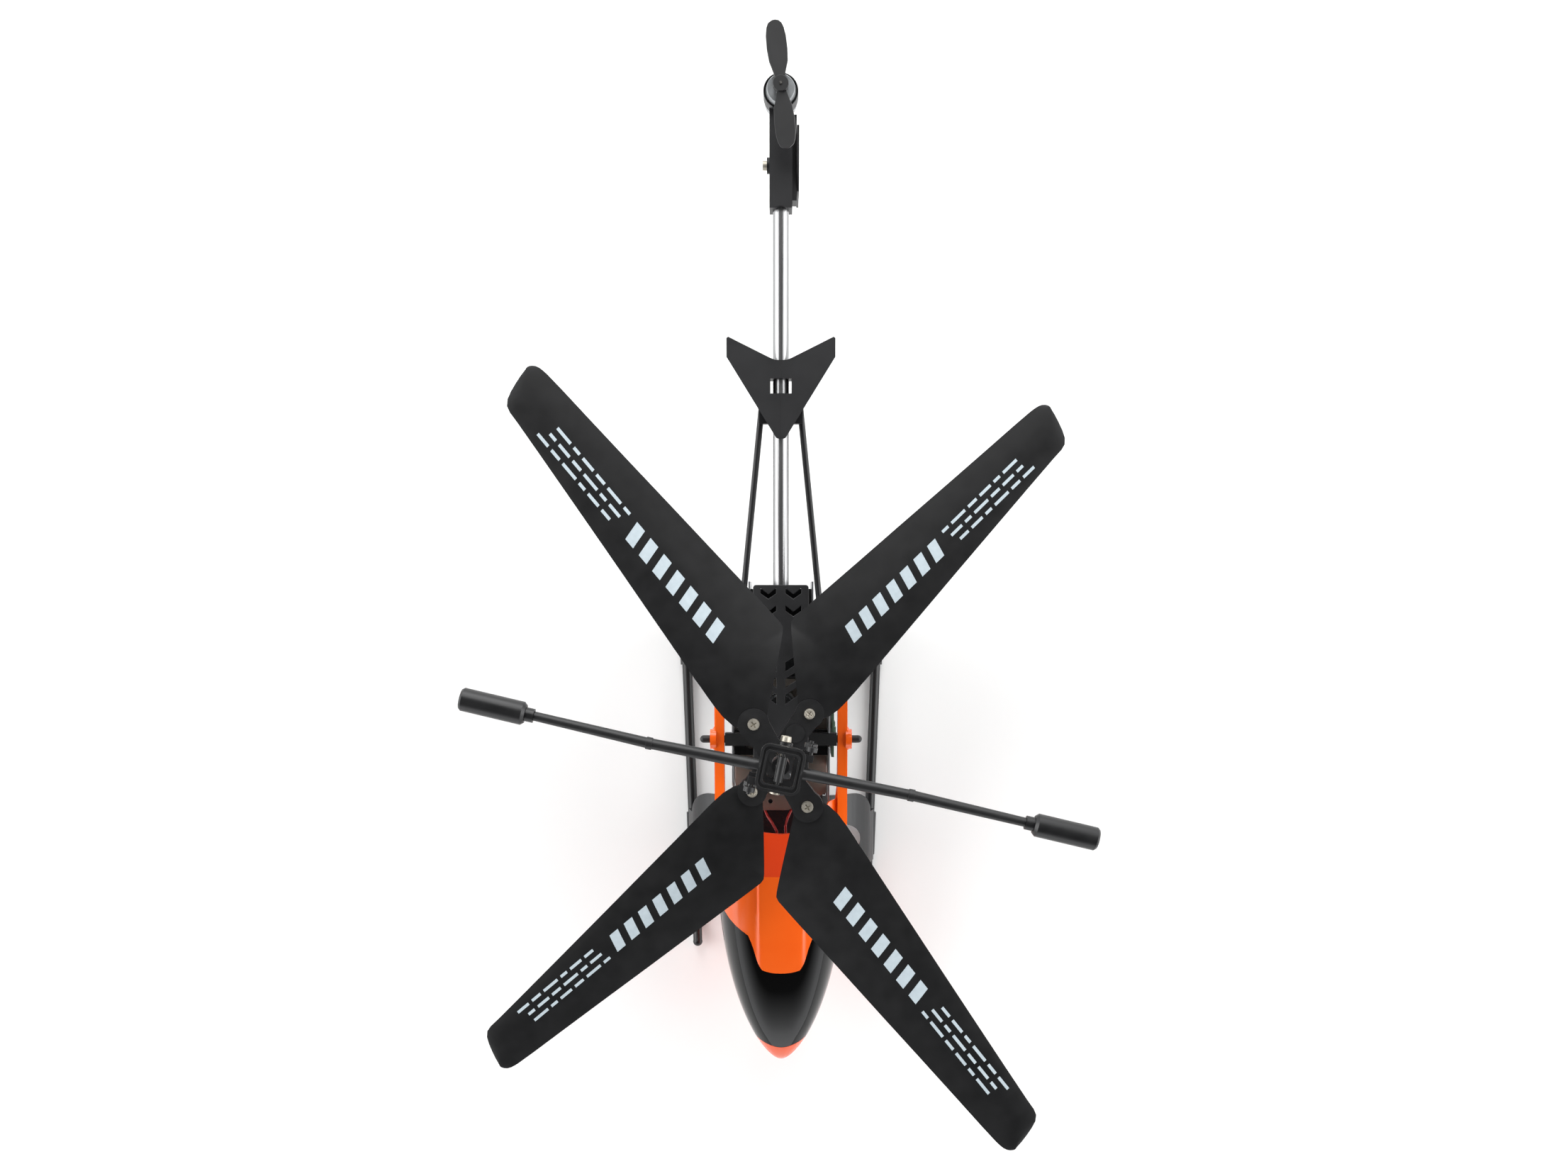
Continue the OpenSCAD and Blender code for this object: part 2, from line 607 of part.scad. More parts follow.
module blade_skin(hand) {
    n = len(section);
    m = len(blade_plan);
    polyhedron(
        points = [for (s = blade_plan, q = section) blade_point(s, q, hand)],
        faces = concat(
            [turned([for (j = [0:n - 1]) j], hand)],
            [for (i = [0:m - 2], j = [0:n - 1]) let (k = (j + 1) % n)
                turned([i * n + j, (i + 1) * n + j, i * n + k], hand)],
            [for (i = [0:m - 2], j = [0:n - 1]) let (k = (j + 1) % n)
                turned([i * n + k, (i + 1) * n + j, (i + 1) * n + k], hand)],
            [turned([for (j = [n - 1:-1:0]) (m - 1) * n + j], hand)]
        )
    );
}

// One blade on its screw, from the arm that carries it.
module blade(arm, screw_r, dir, hand) color(black)
    rotate(arm) translate([screw_r, 0, 0]) rotate(dir - arm) difference() {
        union() {
            blade_skin(hand);
            translate([0, 0, -blade_root_t / 2]) cylinder(r = ear_r - 1.6, h = blade_root_t);
        }
        translate([0, 0, -10]) cylinder(d = blade_screw_d + 2 * running_gap, h = 20);
    }

module lower_blade(i, dir) aboard() translate([0, 0, lower_rotor_z]) blade(lower_arms[i], lower_screw_r, dir, 1);
module upper_blade(i, dir) aboard() translate([0, 0, upper_rotor_z]) blade(upper_arms[i], upper_screw_r, dir, -1);
module lower_blade_right() lower_blade(0, lower_blade_dir);
module lower_blade_left() lower_blade(1, lower_blade_dir + lower_blade_spread);
module upper_blade_rear() upper_blade(0, upper_blade_dir);
module upper_blade_front() upper_blade(1, upper_blade_dir + upper_blade_spread);

// ---- Upper rotor: hub, teetering grip, bolt, flybar and links --------------------------------------

// Turns so that local +Y lies along the tilt axis.
module on_hub(z) aboard() translate([0, 0, z]) rotate(hub_angle - 90) children();

bolt_d = 2;
bolt_half = 11.4;
pivot_pin_d = 1.9;
barrel_d = 4.3;
barrel_len = 12;
hub_d = 8.4;
link_at = [12.3, 11.8];
link_pin_d = 2;
frame_out = [21, 22];
frame_in = [14.6, 15];
frame_h = 5;

module upper_hub() color(black) on_hub(upper_rotor_z) difference() {
    union() {
        translate([0, 0, -7]) cylinder(d = hub_d, h = 13);
        translate([0, 0, 5.9]) cylinder(d = 5, h = flybar_rise - 6);
        translate([0, -barrel_len / 2, flybar_rise]) rod_y(barrel_d, barrel_len);
    }
    translate([0, 0, -20]) cylinder(d = inner_shaft_d, h = 28);
    translate([0, -20, 0]) rod_y(bolt_d, 40);
    for (s = [0, 1]) mirror([0, s, 0]) translate([0, 3, flybar_rise]) rod_y(pivot_pin_d + 2 * running_gap, 20);
}

module hub_bolt() color(nickel) on_hub(upper_rotor_z) difference() {
    union() {
        translate([0, -bolt_half - 1, 0]) rod_y(bolt_d, 2 * bolt_half + 2);
        for (s = [0, 1]) mirror([0, s, 0]) translate([0, bolt_half + 0.15, 0]) {
            rotate([-90, 0, 0]) cylinder(d1 = 5.6, d2 = 4.8, h = 2.6);
        }
    }
    translate([-1.6, bolt_half + 1.9, -0.35]) cube([3.2, 4, 0.7]);
    translate([-0.35, bolt_half + 1.9, -1.6]) cube([0.7, 4, 3.2]);
}

module upper_grip() color(black) on_hub(upper_rotor_z) difference() {
    union() {
        translate([0, 0, -ear_gap - ear_t]) linear_extrude(2 * (ear_gap + ear_t)) round_rect(18, 19, 3);
        for (a = upper_arms) clevis(a + 90 - hub_angle, 5.4, upper_screw_r);
        for (s = [0, 1]) mirror([0, s, 0]) translate([0, 9, 0]) rod_y(7.4, bolt_half - 9);
        for (a = [0, 180]) rotate(a) {
            translate([8, 6, -1.5]) cube([link_at[0] - 8 + 1.6, 3.4, 3]);
            translate([link_at[0], 6, 0]) rod_y(link_pin_d, link_at[1] - 6 + 2.6);
        }
    }
    translate([0, 0, -20]) linear_extrude(40) round_rect(11.6, 12.6, 1.5);
    translate([0, -20, 0]) rod_y(bolt_d + 2 * running_gap, 40);
}

module upper_blade_screws() color(nickel) aboard() translate([0, 0, upper_rotor_z])
    for (a = upper_arms) blade_screw(a, upper_screw_r);

bend_r = 62;
rod_root_d = 5.7;
rod_tip_d = 4.4;
rod_in_angle = 0.5;
rod_out_angle = -1.6;
rod_end_r = flybar_len / 2 - weight_len;

// From the middle: where the rod bends, and where it enters its weight.
bend_at = bend_r * [cos(rod_in_angle), sin(rod_in_angle)];
rod_end = bend_at + (rod_end_r + 6 - bend_r) * [cos(rod_out_angle), sin(rod_out_angle)];

module flybar() color(black) on_hub(flybar_z) {
    difference() {
        translate([0, 0, -frame_h / 2]) linear_extrude(frame_h) difference() {
            round_rect(frame_out[0], frame_out[1], 4);
            round_rect(frame_in[0], frame_in[1], 2);
        }
        // A groove between two raised rims.
        translate([0, 0, frame_h / 2 - 0.8]) linear_extrude(2) difference() {
            round_rect(frame_out[0] - 2.4, frame_out[1] - 2.4, 3);
            round_rect(frame_in[0] + 1.6, frame_in[1] + 1.6, 2);
        }
    }
    for (s = [0, 1]) mirror([0, s, 0]) translate([0, 4, 0]) rod_y(pivot_pin_d, frame_in[1] / 2 - 3);
    for (a = [0, 180]) rotate(a) {
        rotate([0, 90, rod_in_angle]) translate([0, 0, frame_out[0] / 2 - 1])
            cylinder(d1 = rod_root_d, d2 = (rod_root_d + rod_tip_d) / 2, h = bend_r - frame_out[0] / 2 + 1);
        translate([bend_at[0], bend_at[1], 0]) rotate([0, 90, rod_in_angle]) translate([0, 0, -1.4])
            cylinder(d = (rod_root_d + rod_tip_d) / 2 + 0.8, h = 2.8);
        translate([bend_at[0], bend_at[1], 0]) rotate([0, 90, rod_out_angle])
            cylinder(d1 = (rod_root_d + rod_tip_d) / 2, d2 = rod_tip_d, h = rod_end_r - bend_r);
        translate([link_at[0] - 4.6, 6, -1.5]) cube([6.2, 3.4, 3]);
        translate([link_at[0], 6, 0]) rod_y(link_pin_d, link_at[1] - 6 + 2.6);
    }
}

module flybar_weights() color(black) on_hub(flybar_z) for (a = [0, 180]) rotate(a)
    translate([bend_at[0], bend_at[1], 0]) rotate([0, 90, rod_out_angle])
        translate([0, 0, rod_end_r - bend_r]) {
            cylinder(d = 6.6, h = 4);
            translate([0, 0, 4 - eps]) cylinder(d1 = 8.6, d2 = weight_d, h = 1.4);
            translate([0, 0, 5.4 - 2 * eps]) cylinder(d = weight_d, h = weight_len - 6.4);
            translate([0, 0, weight_len - 1 - 2 * eps]) cylinder(d1 = weight_d, d2 = weight_d - 1.6, h = 1);
        }

// A link hangs on the flybar's pin; its lower eye is loose round the grip's pin.
link_w = 2.4;
link_eye_gap = 0.5;
module link(turn) color(black) on_hub(flybar_z) rotate(turn)
    translate([link_at[0], link_at[1] - link_w / 2 + 0.2, 0]) difference() {
        union() {
            rod_y(5.4, link_w);
            translate([0, 0, -flybar_rise]) rod_y(6.2, link_w);
            translate([-1.6, 0, -flybar_rise]) cube([3.2, link_w, flybar_rise]);
        }
        translate([0, -1, 0]) rod_y(link_pin_d + 2 * running_gap, 10);
        translate([0, -1, -flybar_rise]) rod_y(link_pin_d + 2 * link_eye_gap, 10);
    }
module link_right() link(0);
module link_left() link(180);

// ---- Tail boom, struts and stabiliser ---------------------------------------------------------------

boom_start_y = 59;
boom_end_y = tail_motor_y - 14;
stab_front_y = 163.2;
stab_side_y = 207;
stab_notch_y = 204.7;
stab_rear_y = 217.5;
stab_ridge_z = boom_z + boom_d / 2 + 3.4;
stab_t = 1.4;
dihedral = 8;
strut_d = 3.4;
strut_from = [24, 50, 76];
strut_to = [10.8, 177, 92];

module boom_tube() color(alu) aboard() translate([0, boom_start_y, boom_z]) difference() {
    rod_y(boom_d, boom_end_y - boom_start_y);
    translate([0, -1, 0]) rod_y(boom_d - 2 * boom_wall, boom_end_y - boom_start_y + 2);
}

module tail_wires() aboard() for (s = [[-1, "#B3201C"], [1, "#2A4E9B"]]) color(s[1])
    translate([s[0] * 0.9, boom_start_y - 8, boom_z - 1]) rod_y(1.4, boom_end_y - boom_start_y + 8.5);

module stabiliser() color(black) aboard() difference() {
    union() {
        both_sides() translate([0, 0, stab_ridge_z]) rotate([0, dihedral, 0]) translate([0, 0, -stab_t])
            linear_extrude(stab_t) polygon([
                [-0.2, stab_front_y], [2.5, stab_front_y + 0.8], [stabiliser_w / 2 / cos(dihedral), stab_side_y],
                [stabiliser_w / 2 / cos(dihedral), stab_rear_y - 0.6],
                [stabiliser_w / 2 / cos(dihedral) - 1, stab_rear_y], [5.6, stab_notch_y + 1.2],
                [3, stab_notch_y + 0.2], [-0.2, stab_notch_y]
            ]);
        translate([-7.6, 182, boom_z - 4]) cube([15.2, 19, stab_ridge_z - boom_z + 2]);
    }
    translate([0, 150, boom_z]) rod_y(boom_d + 0.04, 80);
    translate([-boom_d / 2 - 0.02, 150, boom_z - 20]) cube([boom_d + 0.04, 100, 20]);
    translate([-5.7, 187.4, boom_z - 20]) cube([11.4, 7.8, 60]);
}

module strut_clamp() color(black) aboard() difference() {
    union() {
        translate([0, strut_to[1] - 5, boom_z]) rod_y(boom_d + 3.6, 10);
        both_sides() translate([4, strut_to[1] - 4.6, strut_to[2] - 2.2]) cube([strut_to[0] - 3, 9.2, 4.4]);
    }
    translate([0, strut_to[1] - 10, boom_z]) rod_y(boom_d + 0.04, 20);
    both_sides() strut_rod(strut_d + 0.04);
    translate([-20, strut_to[1] - 20, boom_z + boom_d / 2 + 1]) cube([40, 60, 10]);
}

// The strut's straight rod, from its eye at the chassis to its end under the stabiliser.
module strut_rod(d) {
    v = strut_to - strut_from;
    translate(strut_from) rotate([0, acos(v[2] / norm(v)), atan2(v[1], v[0])])
        cylinder(d = d, h = norm(v) + 3.6);
}

module strut() color(black) aboard() difference() {
    union() {
        strut_rod(strut_d);
        translate([strut_from[0] - 2.4, strut_from[1], strut_from[2]]) rod_x(6.4, 3.8);
    }
    translate([strut_from[0] - 10, strut_from[1], strut_from[2]]) rod_x(2.2, 20);
}
module strut_right() strut();
module strut_left() mirror([1, 0, 0]) strut();

// ---- Tail motor, its holder, fin and propeller --------------------------------------------------------

holder_y = [283.4, 334.6];
holder_screw_y = 306.8;
holder_w = 12;
holder_z = [88, 102];
holder_ring_z = 96;
holder_ring_h = 11;
tail_motor_z = [90, 104.5, 111];
prop_z = 116.4;
prop_turn = 97.4;
fin_x = 8.4;
fin_t = 1.2;

module tail_motor_holder() color(black) aboard() difference() {
    union() {
        translate([-holder_w / 2, holder_y[0], holder_z[0]])
            cube([holder_w, holder_y[1] - holder_y[0], holder_z[1] - holder_z[0]]);
        translate([0, tail_motor_y, holder_ring_z]) cylinder(d = tail_motor_d + 1, h = holder_ring_h);
        // Flange on the right for the fin, and the clamp screw's boss on the left.
        translate([holder_w / 2 - eps, holder_y[0] + 5, holder_z[0] - 3]) cube([fin_x - holder_w / 2, 44, 12]);
        translate([-holder_w / 2 - 1.4, holder_screw_y, 95]) rod_x(8.3, 2);
    }
    translate([0, holder_y[0] - 10, boom_z]) rod_y(boom_d + 0.04, boom_end_y - holder_y[0] + 11);
    translate([0, tail_motor_y, holder_z[0] - 2]) cylinder(d = tail_motor_d + 0.04, h = 30);
    translate([0, tail_motor_y, 0]) cylinder(d = 8, h = 200);
    translate([-20, holder_screw_y, 95]) rod_x(1.8, 17);
    // Scalloped front mouth.
    translate([0, holder_y[0] - 3.4, holder_z[1] + 4]) cylinder(d = 9, h = 20, center = true);
}

module tail_holder_screw() color(nickel) aboard() translate([-holder_w / 2 - 1.4 - 2.2, holder_screw_y, 95]) difference() {
    union() {
        rod_x(4.9, 2.2);
        rod_x(1.7, 5);
    }
    translate([-eps, -0.35, -1.5]) cube([0.9, 0.7, 3]);
    translate([-eps, -1.5, -0.35]) cube([0.9, 3, 0.7]);
}

module tail_motor() color(nickel) aboard() translate([0, tail_motor_y, 0]) difference() {
    rotate_extrude() polygon([
        [0, tail_motor_z[0] - 3.4], [4, tail_motor_z[0] - 3.4], [4, tail_motor_z[0] - 2],
        [tail_motor_d / 2, tail_motor_z[0] - 2], [tail_motor_d / 2, tail_motor_z[1]],
        [tail_motor_d / 2 - 0.4, tail_motor_z[1] + 2.2], [tail_motor_d / 2 - 1, tail_motor_z[1] + 4.4],
        [7.2, tail_motor_z[2]], [3, tail_motor_z[2]], [3, tail_motor_z[2] + 1], [0, tail_motor_z[2] + 1]
    ]);
    translate([0, 0, tail_motor_z[0]]) cylinder(d = 1.5 + 2 * running_gap, h = 60);
}

module tail_motor_shaft() color(nickel) aboard() translate([0, tail_motor_y, tail_motor_z[0] + 2])
    cylinder(d = 1.5, h = prop_z + 3.2 - tail_motor_z[0] - 2);

// Half-widths of one tail blade: radius share, leading side and trailing side.
prop_plan = [
    [0.06, 2.2, 2.2], [0.2, 3.2, 3.4], [0.36, 4.6, 5.2], [0.55, 5, 5.8], [0.75, 4.7, 5.8], [0.88, 3.9, 5.2],
    [0.95, 2.8, 4.3], [0.99, 0.8, 2.9], [1, -0.6, 1.4]
];
module tail_propeller() color(black) aboard() translate([0, tail_motor_y, prop_z]) difference() {
    union() {
        translate([0, 0, -2]) cylinder(d = 8, h = 4.4);
        for (a = [0, 180]) rotate(prop_turn + a) rotate([14, 0, 0]) translate([0, 0, -0.6])
            linear_extrude(1.2) polygon(concat(
                [for (p = prop_plan) [p[0] * tail_prop_d / 2, p[1]]],
                [for (i = [len(prop_plan) - 1:-1:0]) [prop_plan[i][0] * tail_prop_d / 2, -prop_plan[i][2]]]
            ));
    }
    translate([0, 0, -10]) cylinder(d = 1.5, h = 20);
}

// Side view of the fin, measured from the tail motor's shaft.
module tail_fin() color(black) aboard() translate([fin_x, tail_motor_y, 0]) rotate([90, 0, 90])
    linear_extrude(fin_t) polygon([
        [-48, 97], [-40, 100], [-25, 103.5], [-17, 107], [-18, 98], [-22, 84], [-27, 70], [-32, 60],
        [-38, 54], [-44, 53], [-47, 60], [-46, 72], [-48, 84]
    ]);

// ---- Electronics ----------------------------------------------------------------------------------------

board_x = chassis_w / 2 + 1.2;
board_t = 1.4;
board_y = [-8, 44];
board_z = [58, 92];
lead_d = 1.5;

module circuit_board() color("#3E6B57") aboard() {
    translate([board_x, board_y[0], board_z[0]])
        cube([board_t, board_y[1] - board_y[0], board_z[1] - board_z[0]]);
    for (p = [[8, 70], [36, 82]]) translate([chassis_w / 2, p[0], p[1]]) rod_x(4, board_x - chassis_w / 2);
    for (c = [[0, 64, 10, 9], [16, 66, 7, 7], [28, 63, 9, 5], [2, 80, 6, 5], [20, 82, 12, 4]])
        translate([board_x + board_t - eps, c[0], c[1]]) cube([1.3, c[2], c[3]]);
}

// Points along each red battery lead, from the battery up to the motors' deck.
lead_right = [[7, -39.9, 55], [7, -39.9, 60], [6.6, -39.9, 66], [5.4, -41, 72], [3.6, -44, 78], [2.4, -48, 82],
              [2.6, -52, 82], [4, -56, 78], [5, -58, 71], [5, -58, 63]];
lead_left = [[-8.5, -39.9, 55], [-9, -39.9, 62], [-9, -40.8, 70], [-7.6, -43, 77], [-5, -46, 82], [-2.6, -50, 84],
             [-1.6, -54, 82], [-2.6, -57, 77], [-4, -58.4, 70], [-4, -58.4, 63]];

// A round cord swept along its points, with one ring of corners at each point.
module swept(route, d, sides = 8) {
    n = len(route);
    function along(i) = let (v = route[min(i + 1, n - 1)] - route[max(i - 1, 0)]) v / norm(v);
    function side_of(t) = let (v = cross(t, abs(t[1]) > 0.8 ? [1, 0, 0] : [0, 1, 0])) v / norm(v);
    polyhedron(
        points = [for (i = [0:n - 1], j = [0:sides - 1])
            let (t = along(i), u = side_of(t), v = cross(t, u), a = 360 * j / sides)
            route[i] + d / 2 * (u * cos(a) + v * sin(a))],
        faces = concat(
            [[for (j = [0:sides - 1]) j]],
            [for (i = [0:n - 2], j = [0:sides - 1]) let (k = (j + 1) % sides)
                [i * sides + j, (i + 1) * sides + k, i * sides + k]],
            [for (i = [0:n - 2], j = [0:sides - 1]) let (k = (j + 1) % sides)
                [i * sides + j, (i + 1) * sides + j, (i + 1) * sides + k]],
            [[for (j = [sides - 1:-1:0]) (n - 1) * sides + j]]
        )
    );
}
module battery_leads() color("#B3201C") aboard() { swept(lead_right, lead_d); swept(lead_left, lead_d); }

// ---- Canopy ---------------------------------------------------------------------------------------------

rail_in = canopy_half_w - 5.3;
rail_z = [97, 103];
rail_front_y = -46;
rail_rear_y = 52;
rail_root_z = 91;
belly_z = 37;
grommet_d = 10.8;
// Distances behind the nose where the width, the top and the bottom are full.
full_at = [114, 125, 80];
swell_power = [0.66, 0.6, 0.55];
// Squareness of the section above and below the seam.
section_power = [3.2, 2.6];
// The wall is measured towards a point on the seam's height, moved back by this much near the nose.
core_back = 24;
core_fade = 90;
hood_gap = 0.8;
hood_wall = 1;

// Share of the full size at a distance behind the nose.
function swell(d, full, power) = pow(1 - pow(1 - min(1, max(0, d) / full), 2), power);
function half_w(y) = canopy_half_w * swell(y - nose_y, full_at[0], swell_power[0]);
function rise(y) = (canopy_top_z - seam_z) * swell(y - nose_y, full_at[1], swell_power[1]);
function drop(y) = (seam_z - belly_z) * swell(y - nose_y, full_at[2], swell_power[2]);

// A point of the canopy's outer skin: angle 0 is the right side, 90 the top.
function skin(y, a) =
    let (up = sin(a) >= 0, k = up ? section_power[0] : section_power[1])
    let (reach = pow(pow(abs(cos(a)), k) + pow(abs(sin(a)), k), 1 / k))
    [half_w(y) * cos(a) / reach, y, seam_z + (up ? rise(y) : drop(y)) * sin(a) / reach];

// The angle at which the upper skin stands at a distance x from the centre line.
function angle_at(x, y) =
    let (k = section_power[0])
    x < 0.05 ? 90 : atan(pow(pow(half_w(y) / x, k) - 1, 1 / k));

// Moves a point of the skin inwards.
function sink(p, depth) =
    let (v = [0, p[1] + core_back * max(0, 1 - (p[1] - nose_y) / core_fade), seam_z] - p) p + depth * v / norm(v);

function mix(a, b, t) = a + (b - a) * t;
function flat(rows) = [for (r = rows) each r];

// The four corners of a cell of a grid with n points to the row, as two triangles.
function cell(i, j, k, n, base, turn) =
    let (a = base + i * n + j, b = base + (i + 1) * n + j, c = base + (i + 1) * n + k, d = base + i * n + k)
    turn ? [[a, b, c], [a, c, d]] : [[a, c, b], [a, d, c]];
function strip(a, b, base) = [[a, b + base, b], [a, a + base, b + base]];

// A curved wall between two grids of points with the same rows and columns.
module curved_wall(outer, inner) {
    m = len(outer);
    n = len(outer[0]);
    base = m * n;
    polyhedron(points = concat(flat(outer), flat(inner)), faces = flat(concat(
        [for (i = [0:m - 2], j = [0:n - 2]) cell(i, j, j + 1, n, 0, false)],
        [for (i = [0:m - 2], j = [0:n - 2]) cell(i, j, j + 1, n, base, true)],
        [for (j = [0:n - 2]) strip(j, j + 1, base)],
        [for (j = [0:n - 2]) strip((m - 1) * n + j + 1, (m - 1) * n + j, base)],
        [for (i = [0:m - 2]) strip((i + 1) * n, i * n, base)],
        [for (i = [0:m - 2]) strip(i * n + n - 1, (i + 1) * n + n - 1, base)]
    )));
}

// Rear edge of the orange nose round the skin, and of the lower half behind it.
function nose_rear(a) = -167 - (sin(a) > 0 ? 9 : 5) * abs(sin(a)) * sin(a);
function shell_rear(a) = -76 - 30 * abs(sin(a));

// The orange lower half with the nose: full rings up to the nose's edge, then half rings.
nose_rows = 8;
shell_rows = 22;
half_ring = 16;
module canopy_shell() color(orange) aboard() {
    n = 2 * half_ring;
    base = (shell_rows + 1) * n;
    outer = [for (i = [0:shell_rows]) [for (j = [0:n - 1])
        let (a = 180 * j / half_ring, u = i / nose_rows, v = (i - nose_rows) / (shell_rows - nose_rows))
        skin(i <= nose_rows ? mix(nose_y + 0.4, nose_rear(a), pow(u, 1.8)) : mix(nose_rear(a), shell_rear(a), v), a)]];
    inner = [for (row = outer) [for (p = row) sink(p, canopy_wall)]];
    polyhedron(points = concat(flat(outer), flat(inner)), faces = concat(
        [[for (j = [n - 1:-1:0]) j]],
        [[for (j = [0:n - 1]) base + j]],
        flat([for (i = [0:shell_rows - 1], j = [i < nose_rows ? 0 : half_ring:n - 1])
            cell(i, j, (j + 1) % n, n, 0, false)]),
        flat([for (i = [0:shell_rows - 1], j = [i < nose_rows ? 0 : half_ring:n - 1])
            cell(i, j, (j + 1) % n, n, base, true)]),
        flat([for (j = [0:half_ring - 1]) strip(nose_rows * n + j + 1, nose_rows * n + j, base)]),
        flat([for (j = [half_ring:n - 1]) strip(shell_rows * n + (j + 1) % n, shell_rows * n + j, base)]),
        flat([for (i = [nose_rows:shell_rows - 1]) strip((i + 1) * n + half_ring, i * n + half_ring, base)]),
        flat([for (i = [nose_rows:shell_rows - 1]) strip(i * n, (i + 1) * n, base)])
    ));
}

// The glossy black upper half; its rear end lies under the hood.
screen_rear_y = -74;
screen_rows = 16;
screen_columns = 24;
module windscreen() color("#101011") aboard() {
    outer = [for (i = [0:screen_rows]) [for (j = [0:screen_columns])
        let (a = 1 + 178 * j / screen_columns)
        skin(mix(nose_rear(a) + 0.2, screen_rear_y, i / screen_rows), a)]];
    curved_wall(outer, [for (row = outer) [for (p = row) sink(p, canopy_wall)]]);
}

// Front and rear ends of the hood's lines, from the middle to its side.
hood_lines = [
    [[0, -126.3], [0, -47.5]], [[5.6, -125.9], [5.6, -47.1]], [[10, -124.4], [10, -46.4]], [[11.4, -121.8], [11.4, -45.8]],
    [[12.6, -119.9], [12.6, -45.2]], [[14.4, -111.8], [16, -43.5]], [[17.2, -104.6], [19, -41]],
    [[24, -100.4], [22, -37]], [[30.7, -93], [25, -31]], [[34.3, -84], [27.6, -30]], [[35.5, -76.5], [30.2, -30]]
];
strip_lines = 3;
strip_lift = [0.8, 3.2];
hood_rows = 16;

// A point of the hood along one of its lines; the inner lines run straight back.
function hood_point(line, t) =
    let (y = mix(line[0][1], line[1][1], t))
    let (a = line[0][0] == line[1][0] ? angle_at(line[0][0], y)
        : mix(angle_at(line[0][0], line[0][1]), angle_at(line[1][0], line[1][1]), t))
    skin(y, a);

module canopy_hood() color(orange) aboard() {
    last = len(hood_lines) - 1;
    grid = [for (i = [0:hood_rows]) [for (j = [-last:last])
        let (p = hood_point(hood_lines[abs(j)], i / hood_rows)) [j < 0 ? p[0] : -p[0], p[1], p[2]]]];
    curved_wall(
        [for (i = [0:hood_rows]) [for (j = [0:2 * last])
            sink(grid[i][j], -hood_gap - hood_wall)
                + [0, 0, abs(j - last) <= strip_lines ? mix(strip_lift[0], strip_lift[1], i / hood_rows) : 0]]],
        [for (row = grid) [for (p = row) sink(p, -hood_gap)]]
    );
    // Rails with a ring where each pin passes.
    both_sides() difference() {
        union() {
            translate([rail_in, rail_front_y, rail_z[0]])
                cube([canopy_half_w - rail_in, rail_rear_y - rail_front_y, rail_z[1] - rail_z[0]]);
            translate([rail_in, rail_front_y - 4, rail_root_z])
                cube([canopy_half_w - rail_in - 1.5, 14, rail_z[1] - rail_root_z]);
            translate([rail_in, rail_rear_y, (rail_z[0] + rail_z[1]) / 2])
                rod_x(rail_z[1] - rail_z[0] - 0.2, canopy_half_w - rail_in);
            translate([canopy_half_w - 1, post_y, post_z]) rod_x(grommet_d, 3.4);
        }
        translate([rail_in - 5, post_y, post_z]) rod_x(post_pin_d + 0.1, 20);
    }
}

skid_left();
skid_right();
front_leg();
rear_leg();
belly_tray();
battery();
battery_cover();
body_screws();
switch_knob();
charge_socket();
gearbox_base();
motor_plate();
side_plate_left();
side_plate_right();
frame_screws();
bearing_block();
shaft_bearings();
canopy_crossbar();
top_cover();
boom_clamp();
main_motor_front();
main_motor_rear();
pinion_front();
pinion_rear();
upper_gear();
lower_gear();
outer_shaft();
lower_grip();
lower_blade_left();
lower_blade_right();
lower_blade_screws();
inner_shaft();
upper_hub();
hub_bolt();
upper_grip();
upper_blade_front();
upper_blade_rear();
upper_blade_screws();
flybar();
flybar_weights();
link_left();
link_right();
boom_tube();
tail_wires();
stabiliser();
strut_clamp();
strut_left();
strut_right();
tail_motor_holder();
tail_holder_screw();
tail_motor();
tail_motor_shaft();
tail_propeller();
tail_fin();
circuit_board();
battery_leads();
canopy_shell();
canopy_hood();
windscreen();
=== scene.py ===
import json
import math

import bpy
from mathutils import Matrix, Vector

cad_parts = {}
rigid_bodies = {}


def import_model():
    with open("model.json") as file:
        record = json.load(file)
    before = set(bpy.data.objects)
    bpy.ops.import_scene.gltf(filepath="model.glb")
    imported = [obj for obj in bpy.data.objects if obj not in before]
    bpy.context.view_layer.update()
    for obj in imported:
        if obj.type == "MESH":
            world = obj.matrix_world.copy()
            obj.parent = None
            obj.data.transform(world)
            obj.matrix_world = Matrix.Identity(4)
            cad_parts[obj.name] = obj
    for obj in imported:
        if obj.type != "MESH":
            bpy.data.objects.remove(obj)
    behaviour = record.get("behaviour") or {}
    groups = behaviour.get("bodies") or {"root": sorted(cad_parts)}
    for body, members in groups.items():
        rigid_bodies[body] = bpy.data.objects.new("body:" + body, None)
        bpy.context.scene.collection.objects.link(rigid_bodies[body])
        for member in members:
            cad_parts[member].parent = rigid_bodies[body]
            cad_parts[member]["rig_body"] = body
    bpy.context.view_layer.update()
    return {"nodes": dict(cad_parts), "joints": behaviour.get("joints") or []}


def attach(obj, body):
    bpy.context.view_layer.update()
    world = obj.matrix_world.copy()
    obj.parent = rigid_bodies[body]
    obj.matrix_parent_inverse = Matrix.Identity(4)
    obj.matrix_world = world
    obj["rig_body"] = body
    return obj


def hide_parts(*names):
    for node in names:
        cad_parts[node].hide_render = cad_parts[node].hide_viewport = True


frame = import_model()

# Studio: a pale floor, big soft lights round the sides and a dim ceiling, so that level gloss stays dark.
# Painted board, rolled matt. The camera looks down on the rotors from just behind the mast, tipped a little
# towards the nose, with its frame shifted to hold the whole tail.
MM = 0.001
mast = Vector(next(j["pos_m"] for j in frame["joints"] if j["name"] == "upper_rotor_spin"))
mast.z = 0
